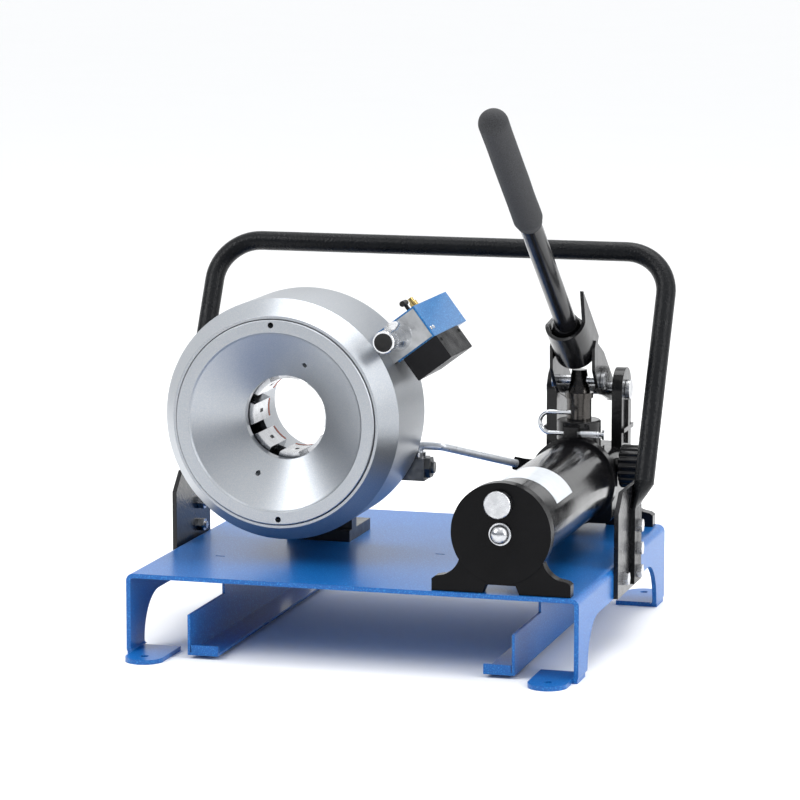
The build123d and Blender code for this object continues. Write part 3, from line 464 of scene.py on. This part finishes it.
# The spring is a helix of wire round the hairpin's lower leg: centre line = (x, y + R cos t, z + R sin t)
# with its turns wider apart at both ends than in the middle. A small circle is drawn along it.
low, high = (np.array(v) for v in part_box("latch_spring"))
wire_r, turns, sides = 0.0008, 8.0, 12
coil_r = (high[1] - low[1]) / 2 - wire_r
t = np.linspace(0.0, 2 * np.pi * turns, 361)
share = t / t[-1]
ease = share + 0.035 * np.sin(2 * np.pi * share)
middle = (low + high) / 2
path = np.stack([low[0] + wire_r + (high[0] - low[0] - 2 * wire_r) * ease, middle[1] + coil_r * np.cos(t),
                 middle[2] + coil_r * np.sin(t)], -1)
ahead = np.gradient(path, axis=0)
ahead /= np.linalg.norm(ahead, axis=1)[:, None]
outwards = np.stack([0 * t, np.cos(t), np.sin(t)], -1)
aside = np.cross(ahead, outwards)
q = np.linspace(0.0, 2 * np.pi, sides, endpoint=False)[:, None]
rings = path[:, None] + wire_r * (np.cos(q) * outwards[:, None] + np.sin(q) * aside[:, None])
points = np.concatenate([rings.reshape(-1, 3), path[[0, -1]]])
index = np.arange(len(t) * sides).reshape(-1, sides)
after = np.roll(index, -1, axis=1)
quads = np.stack([index[:-1], after[:-1], after[1:], index[1:]], -1).reshape(-1, 4).tolist()
caps = np.concatenate([np.stack([np.full(sides, len(points) - 2), after[0], index[0]], -1),
                       np.stack([np.full(sides, len(points) - 1), index[-1], after[-1]], -1)]).tolist()
coil_mesh = bpy.data.meshes.new("latch_coil")
coil_mesh.from_pydata(points.tolist(), [], quads + caps)
coil = finished("latch_coil", coil_mesh, chrome)
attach(coil, "frame")
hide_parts("latch_spring")

# ---- Pump lever ----------------------------------------------------------------------------
# A fork of welded black plate turns on the pivot pin and works the plunger. A black enamelled
# tube sits in its socket, with a pulled-on charcoal foam grip.
lever_black = black_coat("lever_enamel", (0.006, 0.006, 0.007), roughness=0.20, coat=0.2, peel=0.12,
                         size=240.0, edge=0.0)
grip_foam, tree, principled, place = shader("grip_foam", (0.020, 0.021, 0.024), 0.78)
tree.links.new(between(tree, grain(tree, place, 900.0, 3.0), 0.35, 0.7, (0.012, 0.012, 0.014),
                       (0.034, 0.036, 0.040)), principled.inputs["Base Color"])
relief(tree, principled, grain(tree, place, 800.0, 3.0), 0.45, 0.0006)
dress(lever_black, "lever_tube")

# The fork: a trough of bent plate holds the tube, its left wall cut short and its right wall drawn
# up to a point, welded between two side plates with an eye at the pivot. In lever coordinates x is
# across, s along the lever and n towards its front side.
lever_angle = np.radians(37.0)      # the lever at rest, above the horizontal
pivot = (0.165, 0.193, 0.250)
grip_start, lever_end = 0.362, 0.560
lever_axis = np.array([0.0, -np.cos(lever_angle), np.sin(lever_angle)])
lever_front = np.array([0.0, -np.sin(lever_angle), -np.cos(lever_angle)])


def on_lever(x, s, n):
    """Grid of points from lever coordinates: pivot + x right + s lever_axis + n lever_front."""
    right = np.array([1.0, 0.0, 0.0])
    return np.array(pivot) + x[..., None] * right + s[..., None] * lever_axis + n[..., None] * lever_front


# Section of the trough: two straight walls of the given depth behind n = 0, and a half circle in
# front, x = -r cos a, n = r sin a. It is drawn from the trough's foot up to its slanting top edge.
trough_foot, wall_depth = 0.086, 0.020
trough_out, trough_in = 0.0238, 0.0198      # radii of the two skins
a = np.concatenate([np.zeros(6), np.linspace(0.0, np.pi, 30)[1:-1], np.full(6, np.pi)])
wall = np.concatenate([np.linspace(-wall_depth, 0.0, 6), np.zeros(28), np.linspace(0.0, -wall_depth, 6)])
top = np.interp(np.linspace(0.0, 1.0, 40), [0.0, 0.14, 0.5, 0.86, 1.0], [0.124, 0.146, 0.150, 0.156, 0.186])
lengthwise = np.linspace(0.0, 1.0, 16)[:, None]
along = trough_foot + (top - trough_foot) * lengthwise
skins = [on_lever(-r * np.cos(a) + 0 * along, along, wall + r * np.sin(a) + 0 * along)
         for r in (trough_out, trough_in)]
trough = slab("fork_trough", *skins, cast_black)

# A collar is welded into the trough round the tube: (s, r) of its section.
weld = [(0.118, 0.0), (0.118, 0.0196), (0.130, 0.0196), (0.134, 0.0160), (0.146, 0.0150), (0.149, 0.0128),
        (0.149, 0.0)]
socket = turned("fork_socket", weld, pivot, lever_axis, cast_black, 48)
for piece in (trough, socket):
    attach(piece, "pump_lever")
    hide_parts("lever_yoke")

# Each side plate lies between a front edge and a rear edge, both drawn over s, with a round eye
# behind the pivot. The pins pass through it, and no hole is cut for them.
eye_r, plate_end = 0.0138, 0.104
plate_out, plate_in = 0.026, 0.0225         # its two faces, from the middle of the fork
round_end = -eye_r * np.cos(np.linspace(0.0, np.pi / 2, 9))
s_edge = np.concatenate([round_end, np.linspace(0.004, plate_end, 26)])
front_edge = np.interp(s_edge, [0.0, 0.026, 0.040, 0.060, 0.088, plate_end],
                       [eye_r, 0.024, 0.030, 0.032, 0.026, 0.006])
rear_edge = np.interp(s_edge, [0.0, 0.060, plate_end], [-eye_r, -0.014, -0.004])
eye = np.sqrt(np.clip(eye_r ** 2 - s_edge ** 2, 1e-9, None))
front_edge = np.where(s_edge < 0, eye, front_edge)
rear_edge = np.where(s_edge < 0, -eye, rear_edge)
share = np.linspace(0.0, 1.0, 10)[:, None]
n = rear_edge + (front_edge - rear_edge) * share
for name, side in (("left", -1), ("right", 1)):
    faces = [on_lever(side * x + 0 * n, s_edge + 0 * n, n) for x in (plate_out, plate_in)]
    plate = slab("fork_plate_" + name, *faces, cast_black)
    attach(plate, "pump_lever")
    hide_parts("lever_yoke")

# The grip is turned about the lever: a thick lip on the tube, a shoulder, a long sleeve a little
# fuller at both ends and in the middle, and a round tip. Its bore ends 1 mm past the tube. Soft
# dents change its radius by up to 0.9 per cent, in waves round and along it, from the shoulder on.
tube_r, grip_r = 0.01205, 0.0159
sleeve = np.linspace(grip_start + 0.010, lever_end - 0.004, 60)
share = (sleeve - sleeve[0]) / (sleeve[-1] - sleeve[0])
swelling = grip_r * (0.985 + 0.012 * np.cos(2 * np.pi * share) ** 2)
q = np.linspace(0.0, np.pi / 2, 16)
line = [(lever_end + 0.001, 0.0), (lever_end + 0.001, tube_r), (grip_start + 0.001, tube_r),
        (grip_start, tube_r + 0.0006), (grip_start + 0.0005, tube_r + 0.0018),
        (grip_start + 0.004, grip_r - 0.0017), (grip_start + 0.007, grip_r - 0.0007)]
line += list(zip(sleeve, swelling))
line += [(sleeve[-1] + grip_r * np.sin(v), swelling[-1] * np.cos(v)) for v in q[1:-1]]
line += [(sleeve[-1] + grip_r, 0.0)]
rows, a = np.array(line)[1:-1, :1], np.linspace(0.0, 2 * np.pi, 96, endpoint=False)
lip_rows = 4
outer = np.arange(len(rows))[:, None] >= lip_rows
waves = np.sin(2 * a + 41.0 * rows) * np.sin(63.0 * rows) + 0.5 * np.sin(5 * a - 97.0 * rows)
dents = outer * 0.006 * waves
grip = turned("foam_grip", line, pivot, lever_axis, grip_foam, 96, dents, 0.9)
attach(grip, "pump_lever")
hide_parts("lever_grip")

# ---- Studio ----------------------------------------------------------------------------------
# A plain pale floor, a white surround and large soft lights: one high at the left, one over
# the top, a strip at the right. None of it is part of the machine.
floor_half = 30.0
corners = [(x * floor_half, y * floor_half, 0.0) for x, y in ((-1, -1), (1, -1), (1, 1), (-1, 1))]
floor = bpy.data.meshes.new("studio_floor")
floor.from_pydata(corners, [], [(0, 1, 2, 3)])
floor_object = bpy.data.objects.new("studio_floor", floor)
bpy.context.collection.objects.link(floor_object)
floor_white, tree, principled, place = shader("studio_white", (0.94, 0.94, 0.94), 0.75)
patches = between(tree, grain(tree, place, 3.0), 0.2, 0.8, (0.935, 0.935, 0.935), (0.945, 0.945, 0.945))
tree.links.new(patches, principled.inputs["Base Color"])
floor.materials.append(floor_white)

world = bpy.data.worlds.new("studio_surround")
bpy.context.scene.world = world
world.use_nodes = True
sky = world.node_tree
sky.nodes["Background"].inputs["Strength"].default_value = 1.0
# White all round and above, and dimmer low down in front, so that black enamel stays deep.
dim, white = (0.22, 0.24, 0.28), (1.15, 1.16, 1.17)
facing = sky.nodes.new("ShaderNodeSeparateXYZ")
sky.links.new(sky.nodes.new("ShaderNodeTexCoord").outputs["Generated"], facing.inputs["Vector"])
back = between(sky, facing.outputs["Y"], 0.0, 0.2, (0, 0, 0), (1, 1, 1))
high = between(sky, facing.outputs["Z"], 0.25, 0.75, (0, 0, 0), (1, 1, 1))
open_sky = sky.nodes.new("ShaderNodeMath")
open_sky.operation = "MAXIMUM"
sky.links.new(back, open_sky.inputs[0])
sky.links.new(high, open_sky.inputs[1])
sky.links.new(blend_colours(sky, open_sky.outputs["Value"], dim, white),
              sky.nodes["Background"].inputs["Color"])


def softbox(name, place, aim, size, power):
    """Rectangular light at a place, turned towards the point it aims at."""
    light = bpy.data.lights.new(name, "AREA")
    light.shape = "RECTANGLE"
    light.size, light.size_y = size
    light.energy = power
    lamp = bpy.data.objects.new(name, light)
    bpy.context.collection.objects.link(lamp)
    lamp.location = place
    lamp.rotation_euler = (Vector(aim) - Vector(place)).to_track_quat("-Z", "Y").to_euler()


softbox("key_left", (-2.2, -2.0, 2.6), (0.0, 0.0, 0.2), (1.8, 1.8), 60.0)
softbox("top", (0.3, 0.4, 2.6), (0.0, 0.0, 0.1), (2.2, 1.6), 45.0)
softbox("right_strip", (2.4, -0.6, 1.3), (0.0, 0.0, 0.2), (0.7, 2.0), 28.0)

camera_data = bpy.data.cameras.new("studio_camera")
camera = bpy.data.objects.new("studio_camera", camera_data)
bpy.context.collection.objects.link(camera)
camera_data.sensor_width = 36.0
camera_data.lens = 160.78
camera.location = (1.07015, -3.76267, 0.85801)
camera_aim = Vector((-0.0055, 0.0, 0.2567))
camera.rotation_euler = (camera_aim - camera.location).to_track_quat("-Z", "Y").to_euler()
bpy.context.scene.camera = camera
bpy.context.scene.view_settings.view_transform = "Standard"
